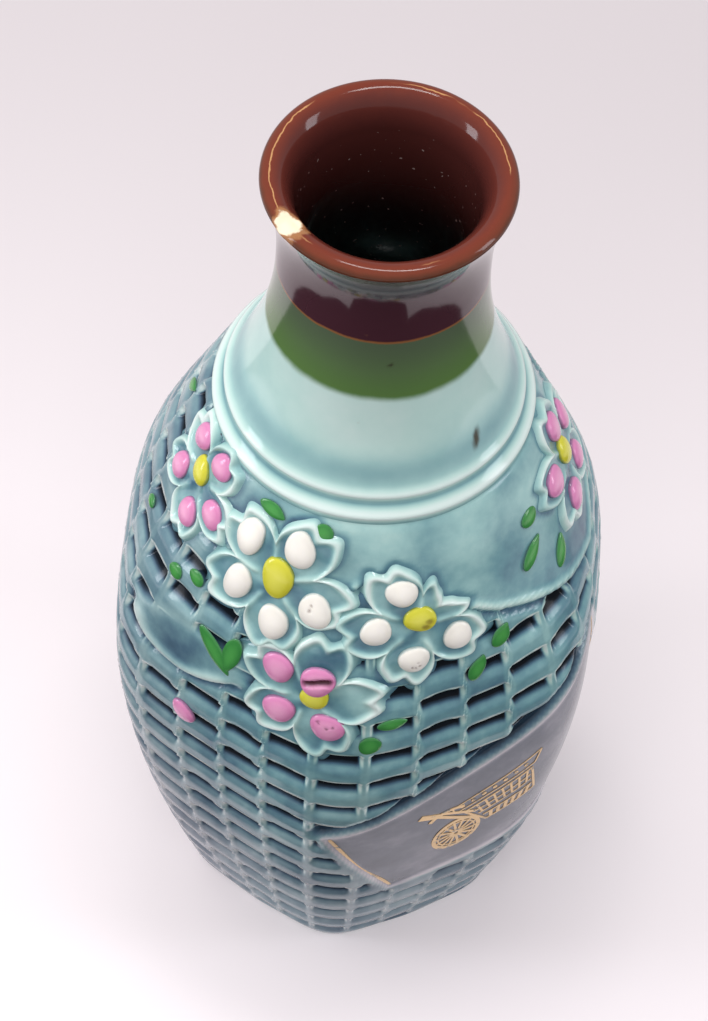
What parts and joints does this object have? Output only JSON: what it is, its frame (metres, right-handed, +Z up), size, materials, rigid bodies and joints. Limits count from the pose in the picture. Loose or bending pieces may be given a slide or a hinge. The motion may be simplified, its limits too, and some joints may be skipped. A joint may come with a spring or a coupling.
{
  "type": "sake bottle",
  "caption": "Glazed ceramic sake bottle with flared lip, slim neck, soft six-sided woven-relief body, raised enamel blossoms and a sunk gilt cart panel.",
  "frame": {"origin": "on the bottle's axis at the plane of the foot ring, which it stands on", "axes": "+Z up the bottle's axis; -Y towards the front corner of the hexagon, between the front and low blossoms; +X to the right-hand face with the cart panel seen from the front"},
  "size_m": [0.0932, 0.0996, 0.208],
  "materials": {
    "celadon_glazed_clay": "gloss celadon glaze pooling to blue in the hollows; iron-brown and olive bands on the neck",
    "sprig_glazed_clay": "gloss pale celadon glaze, nearly white on raised rims",
    "pink_enamel": "gloss raised enamel",
    "white_enamel": "gloss raised enamel",
    "yellow_enamel": "gloss raised enamel",
    "green_enamel": "gloss raised enamel",
    "gilding": "satin worn gilding"
  },
  "bodies": {
    "root": {"blossom_front": "sprig_glazed_clay", "blossom_front_bead_1": "white_enamel", "blossom_front_bead_2": "white_enamel", "blossom_front_bead_3": "white_enamel", "blossom_front_bead_4": "white_enamel", "blossom_front_bead_5": "white_enamel", "blossom_front_eye": "yellow_enamel", "blossom_left": "sprig_glazed_clay", "blossom_left_bead_1": "pink_enamel", "blossom_left_bead_2": "pink_enamel", "blossom_left_bead_3": "pink_enamel", "blossom_left_bead_4": "pink_enamel", "blossom_left_bead_5": "pink_enamel", "blossom_left_eye": "yellow_enamel", "blossom_low": "sprig_glazed_clay", "blossom_low_bead_2": "pink_enamel", "blossom_low_bead_3": "pink_enamel", "blossom_low_bead_4": "pink_enamel", "blossom_low_bead_5": "pink_enamel", "blossom_low_eye": "yellow_enamel", "blossom_right": "sprig_glazed_clay", "blossom_right_bead_2": "white_enamel", "blossom_right_bead_3": "white_enamel", "blossom_right_bead_4": "white_enamel", "blossom_right_bead_5": "white_enamel", "blossom_right_eye": "yellow_enamel", "blossom_side": "sprig_glazed_clay", "blossom_side_bead_1": "pink_enamel", "blossom_side_bead_2": "pink_enamel", "blossom_side_bead_3": "pink_enamel", "blossom_side_bead_4": "pink_enamel", "blossom_side_bead_5": "pink_enamel", "blossom_side_eye": "yellow_enamel", "bottle_body": "celadon_glazed_clay", "bud_bead": "pink_enamel", "gilt_carriage": "gilding", "gilt_line_left": "gilding", "gilt_line_right": "gilding", "gilt_roof": "gilding", "gilt_shaft": "gilding", "gilt_wheel": "gilding", "leaf_fork_long": "green_enamel", "leaf_fork_short": "green_enamel", "leaf_left_far": "green_enamel", "leaf_left_inner": "green_enamel", "leaf_left_outer": "green_enamel", "leaf_left_top": "green_enamel", "leaf_right_lower": "green_enamel", "leaf_right_upper": "green_enamel", "leaf_ring_left": "green_enamel", "leaf_ring_right": "green_enamel", "leaf_side_dot": "green_enamel", "leaf_side_long": "green_enamel", "leaf_side_short": "green_enamel", "leaf_under_bloom": "green_enamel", "leaf_under_stroke": "green_enamel"}
  },
  "joints": []
}
